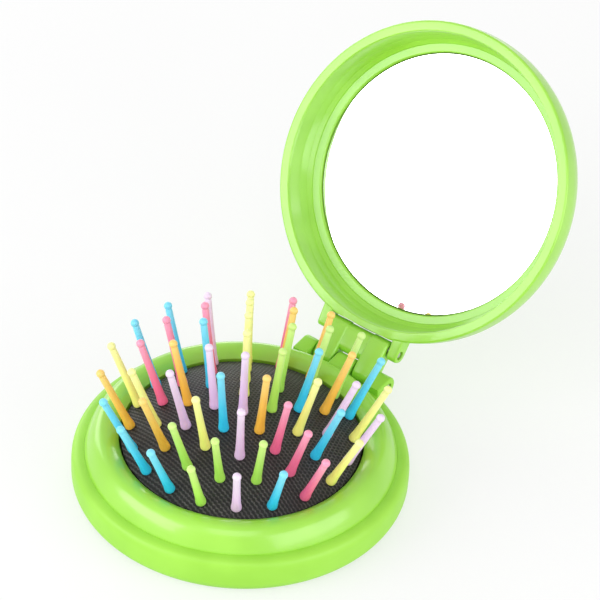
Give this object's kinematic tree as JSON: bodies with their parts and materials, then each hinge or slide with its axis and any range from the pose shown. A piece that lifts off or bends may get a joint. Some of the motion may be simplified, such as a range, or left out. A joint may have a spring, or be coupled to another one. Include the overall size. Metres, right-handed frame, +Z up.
{
  "type": "pocket mirror comb",
  "caption": "Round folding pocket comb: ball-tipped bristles on a rubber pad that pops in and out of a tray, under a hinged lid with a mirror on a two-pivot link.",
  "frame": {"origin": "under the middle of the open comb's bounding box, on the surface it rests on", "axes": "+Z up, +Y from the bristle base towards the hinge and the open lid, X along the hinge pins"},
  "size_m": [0.07, 0.1186, 0.0741],
  "materials": {
    "black_rubber": "matt black moulded rubber",
    "bristle_blue": "smooth nylon",
    "bristle_green": "smooth nylon",
    "bristle_lilac": "smooth nylon",
    "bristle_orange": "smooth nylon",
    "bristle_pink": "smooth nylon",
    "bristle_yellow": "smooth nylon",
    "green_plastic": "glossy moulded, yellow-green",
    "mirror_silver": "silvered, polished",
    "pin_steel": "plain drawn wire"
  },
  "bodies": {
    "base": {"base_tray": "green_plastic", "top_ring": "green_plastic", "lower_hinge_pin": "pin_steel"},
    "cushion": {"cushion": "black_rubber", "bristle_middle": "bristle_lilac"},
    "link": {"hinge_link": "green_plastic"},
    "lid": {"lid_shell": "green_plastic", "mirror": "mirror_silver", "upper_hinge_pin": "pin_steel"},
    "bristle_1_01": {"bristle_1_01": "bristle_blue"},
    "bristle_1_02": {"bristle_1_02": "bristle_orange"},
    "bristle_1_03": {"bristle_1_03": "bristle_green"},
    "bristle_1_04": {"bristle_1_04": "bristle_yellow"},
    "bristle_1_05": {"bristle_1_05": "bristle_lilac"},
    "bristle_2_01": {"bristle_2_01": "bristle_lilac"},
    "bristle_2_02": {"bristle_2_02": "bristle_pink"},
    "bristle_2_03": {"bristle_2_03": "bristle_yellow"},
    "bristle_2_04": {"bristle_2_04": "bristle_blue"},
    "bristle_2_05": {"bristle_2_05": "bristle_green"},
    "bristle_2_06": {"bristle_2_06": "bristle_yellow"},
    "bristle_2_07": {"bristle_2_07": "bristle_blue"},
    "bristle_2_08": {"bristle_2_08": "bristle_orange"},
    "bristle_2_09": {"bristle_2_09": "bristle_lilac"},
    "bristle_2_10": {"bristle_2_10": "bristle_yellow"},
    "bristle_3_01": {"bristle_3_01": "bristle_green"},
    "bristle_3_02": {"bristle_3_02": "bristle_green"},
    "bristle_3_03": {"bristle_3_03": "bristle_pink"},
    "bristle_3_04": {"bristle_3_04": "bristle_blue"},
    "bristle_3_05": {"bristle_3_05": "bristle_lilac"},
    "bristle_3_06": {"bristle_3_06": "bristle_orange"},
    "bristle_3_07": {"bristle_3_07": "bristle_green"},
    "bristle_3_08": {"bristle_3_08": "bristle_orange"},
    "bristle_3_09": {"bristle_3_09": "bristle_yellow"},
    "bristle_3_10": {"bristle_3_10": "bristle_pink"},
    "bristle_3_11": {"bristle_3_11": "bristle_pink"},
    "bristle_3_12": {"bristle_3_12": "bristle_pink"},
    "bristle_3_13": {"bristle_3_13": "bristle_yellow"},
    "bristle_3_14": {"bristle_3_14": "bristle_orange"},
    "bristle_3_15": {"bristle_3_15": "bristle_green"},
    "bristle_4_01": {"bristle_4_01": "bristle_lilac"},
    "bristle_4_02": {"bristle_4_02": "bristle_blue"},
    "bristle_4_03": {"bristle_4_03": "bristle_pink"},
    "bristle_4_04": {"bristle_4_04": "bristle_yellow"},
    "bristle_4_05": {"bristle_4_05": "bristle_lilac"},
    "bristle_4_06": {"bristle_4_06": "bristle_yellow"},
    "bristle_4_07": {"bristle_4_07": "bristle_blue"},
    "bristle_4_08": {"bristle_4_08": "bristle_green"},
    "bristle_4_09": {"bristle_4_09": "bristle_orange"},
    "bristle_4_10": {"bristle_4_10": "bristle_pink"},
    "bristle_4_11": {"bristle_4_11": "bristle_yellow"},
    "bristle_4_12": {"bristle_4_12": "bristle_lilac"},
    "bristle_4_13": {"bristle_4_13": "bristle_blue"},
    "bristle_4_14": {"bristle_4_14": "bristle_blue"},
    "bristle_4_15": {"bristle_4_15": "bristle_yellow"},
    "bristle_4_16": {"bristle_4_16": "bristle_orange"},
    "bristle_4_17": {"bristle_4_17": "bristle_blue"},
    "bristle_4_18": {"bristle_4_18": "bristle_blue"},
    "bristle_4_19": {"bristle_4_19": "bristle_blue"},
    "bristle_4_20": {"bristle_4_20": "bristle_green"}
  },
  "joints": [
    {"name": "link_hinge", "type": "hinge", "parent": "base", "child": "link", "pos_m": [0, 0.01162, 0.0084], "axis": [-1, 0, 0], "range_deg": [-43.5, 0]},
    {"name": "lid_hinge", "type": "hinge", "parent": "link", "child": "lid", "pos_m": [0, 0.0165, 0.01355], "axis": [-1, 0, 0], "range_deg": [-78.1, 58.4]},
    {"name": "cushion_pop", "type": "slide", "parent": "base", "child": "cushion", "axis": [0, 0, 1], "range_m": [-0.01312, 0], "deforming": ["cushion"]},
    {"name": "bristle_1_01_tilt", "type": "hinge", "parent": "base", "child": "bristle_1_01", "pos_m": [0, -0.08152, 0.01083], "axis": [1, 0, 0], "range_deg": [-14.54, 0]},
    {"name": "bristle_1_02_tilt", "type": "hinge", "parent": "base", "child": "bristle_1_02", "pos_m": [0.05443, -0.04197, 0.01083], "axis": [0.309, 0.9511, 0], "range_deg": [-14.54, 0]},
    {"name": "bristle_1_03_tilt", "type": "hinge", "parent": "base", "child": "bristle_1_03", "pos_m": [0.03364, 0.02202, 0.01083], "axis": [-0.809, 0.5878, 0], "range_deg": [-14.54, 0]},
    {"name": "bristle_1_04_tilt", "type": "hinge", "parent": "base", "child": "bristle_1_04", "pos_m": [-0.03364, 0.02202, 0.01083], "axis": [-0.809, -0.5878, 0], "range_deg": [-14.54, 0]},
    {"name": "bristle_1_05_tilt", "type": "hinge", "parent": "base", "child": "bristle_1_05", "pos_m": [-0.05443, -0.04197, 0.01083], "axis": [0.309, -0.9511, 0], "range_deg": [-14.54, 0]},
    {"name": "bristle_2_01_tilt", "type": "hinge", "parent": "base", "child": "bristle_2_01", "pos_m": [0.02091, -0.05306, 0.01034], "axis": [0.809, 0.5878, 0], "range_deg": [-28.28, 0]},
    {"name": "bristle_2_02_tilt", "type": "hinge", "parent": "base", "child": "bristle_2_02", "pos_m": [0.03383, -0.03528, 0.01034], "axis": [0.309, 0.9511, 0], "range_deg": [-28.28, 0]},
    {"name": "bristle_2_03_tilt", "type": "hinge", "parent": "base", "child": "bristle_2_03", "pos_m": [0.03383, -0.01329, 0.01034], "axis": [-0.309, 0.9511, 0], "range_deg": [-28.28, 0]},
    {"name": "bristle_2_04_tilt", "type": "hinge", "parent": "base", "child": "bristle_2_04", "pos_m": [0.02091, 0.00449, 0.01034], "axis": [-0.809, 0.5878, 0], "range_deg": [-28.28, 0]},
    {"name": "bristle_2_05_tilt", "type": "hinge", "parent": "base", "child": "bristle_2_05", "pos_m": [0, 0.01129, 0.01034], "axis": [-1, 0, 0], "range_deg": [-28.28, 0]},
    {"name": "bristle_2_06_tilt", "type": "hinge", "parent": "base", "child": "bristle_2_06", "pos_m": [-0.02091, 0.00449, 0.01034], "axis": [-0.809, -0.5878, 0], "range_deg": [-28.28, 0]},
    {"name": "bristle_2_07_tilt", "type": "hinge", "parent": "base", "child": "bristle_2_07", "pos_m": [-0.03383, -0.01329, 0.01034], "axis": [-0.309, -0.9511, 0], "range_deg": [-28.28, 0]},
    {"name": "bristle_2_08_tilt", "type": "hinge", "parent": "base", "child": "bristle_2_08", "pos_m": [-0.03383, -0.03528, 0.01034], "axis": [0.309, -0.9511, 0], "range_deg": [-28.28, 0]},
    {"name": "bristle_2_09_tilt", "type": "hinge", "parent": "base", "child": "bristle_2_09", "pos_m": [-0.02091, -0.05306, 0.01034], "axis": [0.809, -0.5878, 0], "range_deg": [-28.28, 0]},
    {"name": "bristle_2_10_tilt", "type": "hinge", "parent": "base", "child": "bristle_2_10", "pos_m": [0, -0.05986, 0.01034], "axis": [1, 0, 0], "range_deg": [-28.28, 0]},
    {"name": "bristle_3_01_tilt", "type": "hinge", "parent": "base", "child": "bristle_3_01", "pos_m": [0.01094, -0.04886, 0.01045], "axis": [0.9135, 0.4067, 0], "range_deg": [-47.74, 0]},
    {"name": "bristle_3_02_tilt", "type": "hinge", "parent": "base", "child": "bristle_3_02", "pos_m": [0.01999, -0.04229, 0.01045], "axis": [0.6691, 0.7431, 0], "range_deg": [-47.74, 0]},
    {"name": "bristle_3_03_tilt", "type": "hinge", "parent": "base", "child": "bristle_3_03", "pos_m": [0.02559, -0.0326, 0.01045], "axis": [0.309, 0.9511, 0], "range_deg": [-47.74, 0]},
    {"name": "bristle_3_04_tilt", "type": "hinge", "parent": "base", "child": "bristle_3_04", "pos_m": [0.02676, -0.02147, 0.01045], "axis": [-0.1045, 0.9945, 0], "range_deg": [-47.74, 0]},
    {"name": "bristle_3_05_tilt", "type": "hinge", "parent": "base", "child": "bristle_3_05", "pos_m": [0.0233, -0.01083, 0.01045], "axis": [-0.5, 0.866, 0], "range_deg": [-47.74, 0]},
    {"name": "bristle_3_06_tilt", "type": "hinge", "parent": "base", "child": "bristle_3_06", "pos_m": [0.01581, -0.00252, 0.01045], "axis": [-0.809, 0.5878, 0], "range_deg": [-47.74, 0]},
    {"name": "bristle_3_07_tilt", "type": "hinge", "parent": "base", "child": "bristle_3_07", "pos_m": [0.00559, 0.00203, 0.01045], "axis": [-0.9781, 0.2079, 0], "range_deg": [-47.74, 0]},
    {"name": "bristle_3_08_tilt", "type": "hinge", "parent": "base", "child": "bristle_3_08", "pos_m": [-0.00559, 0.00203, 0.01045], "axis": [-0.9781, -0.2079, 0], "range_deg": [-47.74, 0]},
    {"name": "bristle_3_09_tilt", "type": "hinge", "parent": "base", "child": "bristle_3_09", "pos_m": [-0.01581, -0.00252, 0.01045], "axis": [-0.809, -0.5878, 0], "range_deg": [-47.74, 0]},
    {"name": "bristle_3_10_tilt", "type": "hinge", "parent": "base", "child": "bristle_3_10", "pos_m": [-0.0233, -0.01083, 0.01045], "axis": [-0.5, -0.866, 0], "range_deg": [-47.74, 0]},
    {"name": "bristle_3_11_tilt", "type": "hinge", "parent": "base", "child": "bristle_3_11", "pos_m": [-0.02676, -0.02147, 0.01045], "axis": [-0.1045, -0.9945, 0], "range_deg": [-47.74, 0]},
    {"name": "bristle_3_12_tilt", "type": "hinge", "parent": "base", "child": "bristle_3_12", "pos_m": [-0.02559, -0.0326, 0.01045], "axis": [0.309, -0.9511, 0], "range_deg": [-47.74, 0]},
    {"name": "bristle_3_13_tilt", "type": "hinge", "parent": "base", "child": "bristle_3_13", "pos_m": [-0.01999, -0.04229, 0.01045], "axis": [0.6691, -0.7431, 0], "range_deg": [-47.74, 0]},
    {"name": "bristle_3_14_tilt", "type": "hinge", "parent": "base", "child": "bristle_3_14", "pos_m": [-0.01094, -0.04886, 0.01045], "axis": [0.9135, -0.4067, 0], "range_deg": [-47.74, 0]},
    {"name": "bristle_3_15_tilt", "type": "hinge", "parent": "base", "child": "bristle_3_15", "pos_m": [0, -0.05119, 0.01045], "axis": [1, 0, 0], "range_deg": [-47.74, 0]},
    {"name": "bristle_4_01_tilt", "type": "hinge", "parent": "base", "child": "bristle_4_01", "pos_m": [0.01458, -0.04435, 0.01101], "axis": [0.809, 0.5878, 0], "range_deg": [-66.8, 0]},
    {"name": "bristle_4_02_tilt", "type": "hinge", "parent": "base", "child": "bristle_4_02", "pos_m": [0.02006, -0.03886, 0.01101], "axis": [0.5878, 0.809, 0], "range_deg": [-66.8, 0]},
    {"name": "bristle_4_03_tilt", "type": "hinge", "parent": "base", "child": "bristle_4_03", "pos_m": [0.02358, -0.03195, 0.01101], "axis": [0.309, 0.9511, 0], "range_deg": [-66.8, 0]},
    {"name": "bristle_4_04_tilt", "type": "hinge", "parent": "base", "child": "bristle_4_04", "pos_m": [0.0248, -0.02428, 0.01101], "axis": [0, 1, 0], "range_deg": [-66.8, 0]},
    {"name": "bristle_4_05_tilt", "type": "hinge", "parent": "base", "child": "bristle_4_05", "pos_m": [0.02358, -0.01662, 0.01101], "axis": [-0.309, 0.9511, 0], "range_deg": [-66.8, 0]},
    {"name": "bristle_4_06_tilt", "type": "hinge", "parent": "base", "child": "bristle_4_06", "pos_m": [0.02006, -0.00971, 0.01101], "axis": [-0.5878, 0.809, 0], "range_deg": [-66.8, 0]},
    {"name": "bristle_4_07_tilt", "type": "hinge", "parent": "base", "child": "bristle_4_07", "pos_m": [0.01458, -0.00422, 0.01101], "axis": [-0.809, 0.5878, 0], "range_deg": [-66.8, 0]},
    {"name": "bristle_4_08_tilt", "type": "hinge", "parent": "base", "child": "bristle_4_08", "pos_m": [0.00766, -0.0007, 0.01101], "axis": [-0.9511, 0.309, 0], "range_deg": [-66.8, 0]},
    {"name": "bristle_4_09_tilt", "type": "hinge", "parent": "base", "child": "bristle_4_09", "pos_m": [0, 0.00051, 0.01101], "axis": [-1, 0, 0], "range_deg": [-66.8, 0]},
    {"name": "bristle_4_10_tilt", "type": "hinge", "parent": "base", "child": "bristle_4_10", "pos_m": [-0.00766, -0.0007, 0.01101], "axis": [-0.9511, -0.309, 0], "range_deg": [-66.8, 0]},
    {"name": "bristle_4_11_tilt", "type": "hinge", "parent": "base", "child": "bristle_4_11", "pos_m": [-0.01458, -0.00422, 0.01101], "axis": [-0.809, -0.5878, 0], "range_deg": [-66.8, 0]},
    {"name": "bristle_4_12_tilt", "type": "hinge", "parent": "base", "child": "bristle_4_12", "pos_m": [-0.02006, -0.00971, 0.01101], "axis": [-0.5878, -0.809, 0], "range_deg": [-66.8, 0]},
    {"name": "bristle_4_13_tilt", "type": "hinge", "parent": "base", "child": "bristle_4_13", "pos_m": [-0.02358, -0.01662, 0.01101], "axis": [-0.309, -0.9511, 0], "range_deg": [-66.8, 0]},
    {"name": "bristle_4_14_tilt", "type": "hinge", "parent": "base", "child": "bristle_4_14", "pos_m": [-0.0248, -0.02428, 0.01101], "axis": [0, -1, 0], "range_deg": [-66.8, 0]},
    {"name": "bristle_4_15_tilt", "type": "hinge", "parent": "base", "child": "bristle_4_15", "pos_m": [-0.02358, -0.03195, 0.01101], "axis": [0.309, -0.9511, 0], "range_deg": [-66.8, 0]},
    {"name": "bristle_4_16_tilt", "type": "hinge", "parent": "base", "child": "bristle_4_16", "pos_m": [-0.02006, -0.03886, 0.01101], "axis": [0.5878, -0.809, 0], "range_deg": [-66.8, 0]},
    {"name": "bristle_4_17_tilt", "type": "hinge", "parent": "base", "child": "bristle_4_17", "pos_m": [-0.01458, -0.04435, 0.01101], "axis": [0.809, -0.5878, 0], "range_deg": [-66.8, 0]},
    {"name": "bristle_4_18_tilt", "type": "hinge", "parent": "base", "child": "bristle_4_18", "pos_m": [-0.00766, -0.04787, 0.01101], "axis": [0.9511, -0.309, 0], "range_deg": [-66.8, 0]},
    {"name": "bristle_4_19_tilt", "type": "hinge", "parent": "base", "child": "bristle_4_19", "pos_m": [0, -0.04908, 0.01101], "axis": [1, 0, 0], "range_deg": [-66.8, 0]},
    {"name": "bristle_4_20_tilt", "type": "hinge", "parent": "base", "child": "bristle_4_20", "pos_m": [0.00766, -0.04787, 0.01101], "axis": [0.9511, 0.309, 0], "range_deg": [-66.8, 0]}
  ],
  "couplings": [
    {"joint": "cushion_pop", "follows": "link_hinge", "m_per_rad": 0.017249},
    {"joint": "bristle_1_01_tilt", "follows": "link_hinge", "ratio": 0.33333},
    {"joint": "bristle_1_02_tilt", "follows": "link_hinge", "ratio": 0.33333},
    {"joint": "bristle_1_03_tilt", "follows": "link_hinge", "ratio": 0.33333},
    {"joint": "bristle_1_04_tilt", "follows": "link_hinge", "ratio": 0.33333},
    {"joint": "bristle_1_05_tilt", "follows": "link_hinge", "ratio": 0.33333},
    {"joint": "bristle_2_01_tilt", "follows": "link_hinge", "ratio": 0.64828},
    {"joint": "bristle_2_02_tilt", "follows": "link_hinge", "ratio": 0.64828},
    {"joint": "bristle_2_03_tilt", "follows": "link_hinge", "ratio": 0.64828},
    {"joint": "bristle_2_04_tilt", "follows": "link_hinge", "ratio": 0.64828},
    {"joint": "bristle_2_05_tilt", "follows": "link_hinge", "ratio": 0.64828},
    {"joint": "bristle_2_06_tilt", "follows": "link_hinge", "ratio": 0.64828},
    {"joint": "bristle_2_07_tilt", "follows": "link_hinge", "ratio": 0.64828},
    {"joint": "bristle_2_08_tilt", "follows": "link_hinge", "ratio": 0.64828},
    {"joint": "bristle_2_09_tilt", "follows": "link_hinge", "ratio": 0.64828},
    {"joint": "bristle_2_10_tilt", "follows": "link_hinge", "ratio": 0.64828},
    {"joint": "bristle_3_01_tilt", "follows": "link_hinge", "ratio": 1.0942},
    {"joint": "bristle_3_02_tilt", "follows": "link_hinge", "ratio": 1.0942},
    {"joint": "bristle_3_03_tilt", "follows": "link_hinge", "ratio": 1.0942},
    {"joint": "bristle_3_04_tilt", "follows": "link_hinge", "ratio": 1.0942},
    {"joint": "bristle_3_05_tilt", "follows": "link_hinge", "ratio": 1.0942},
    {"joint": "bristle_3_06_tilt", "follows": "link_hinge", "ratio": 1.0942},
    {"joint": "bristle_3_07_tilt", "follows": "link_hinge", "ratio": 1.0942},
    {"joint": "bristle_3_08_tilt", "follows": "link_hinge", "ratio": 1.0942},
    {"joint": "bristle_3_09_tilt", "follows": "link_hinge", "ratio": 1.0942},
    {"joint": "bristle_3_10_tilt", "follows": "link_hinge", "ratio": 1.0942},
    {"joint": "bristle_3_11_tilt", "follows": "link_hinge", "ratio": 1.0942},
    {"joint": "bristle_3_12_tilt", "follows": "link_hinge", "ratio": 1.0942},
    {"joint": "bristle_3_13_tilt", "follows": "link_hinge", "ratio": 1.0942},
    {"joint": "bristle_3_14_tilt", "follows": "link_hinge", "ratio": 1.0942},
    {"joint": "bristle_3_15_tilt", "follows": "link_hinge", "ratio": 1.0942},
    {"joint": "bristle_4_01_tilt", "follows": "link_hinge", "ratio": 1.531},
    {"joint": "bristle_4_02_tilt", "follows": "link_hinge", "ratio": 1.531},
    {"joint": "bristle_4_03_tilt", "follows": "link_hinge", "ratio": 1.531},
    {"joint": "bristle_4_04_tilt", "follows": "link_hinge", "ratio": 1.531},
    {"joint": "bristle_4_05_tilt", "follows": "link_hinge", "ratio": 1.531},
    {"joint": "bristle_4_06_tilt", "follows": "link_hinge", "ratio": 1.531},
    {"joint": "bristle_4_07_tilt", "follows": "link_hinge", "ratio": 1.531},
    {"joint": "bristle_4_08_tilt", "follows": "link_hinge", "ratio": 1.531},
    {"joint": "bristle_4_09_tilt", "follows": "link_hinge", "ratio": 1.531},
    {"joint": "bristle_4_10_tilt", "follows": "link_hinge", "ratio": 1.531},
    {"joint": "bristle_4_11_tilt", "follows": "link_hinge", "ratio": 1.531},
    {"joint": "bristle_4_12_tilt", "follows": "link_hinge", "ratio": 1.531},
    {"joint": "bristle_4_13_tilt", "follows": "link_hinge", "ratio": 1.531},
    {"joint": "bristle_4_14_tilt", "follows": "link_hinge", "ratio": 1.531},
    {"joint": "bristle_4_15_tilt", "follows": "link_hinge", "ratio": 1.531},
    {"joint": "bristle_4_16_tilt", "follows": "link_hinge", "ratio": 1.531},
    {"joint": "bristle_4_17_tilt", "follows": "link_hinge", "ratio": 1.531},
    {"joint": "bristle_4_18_tilt", "follows": "link_hinge", "ratio": 1.531},
    {"joint": "bristle_4_19_tilt", "follows": "link_hinge", "ratio": 1.531},
    {"joint": "bristle_4_20_tilt", "follows": "link_hinge", "ratio": 1.531}
  ]
}
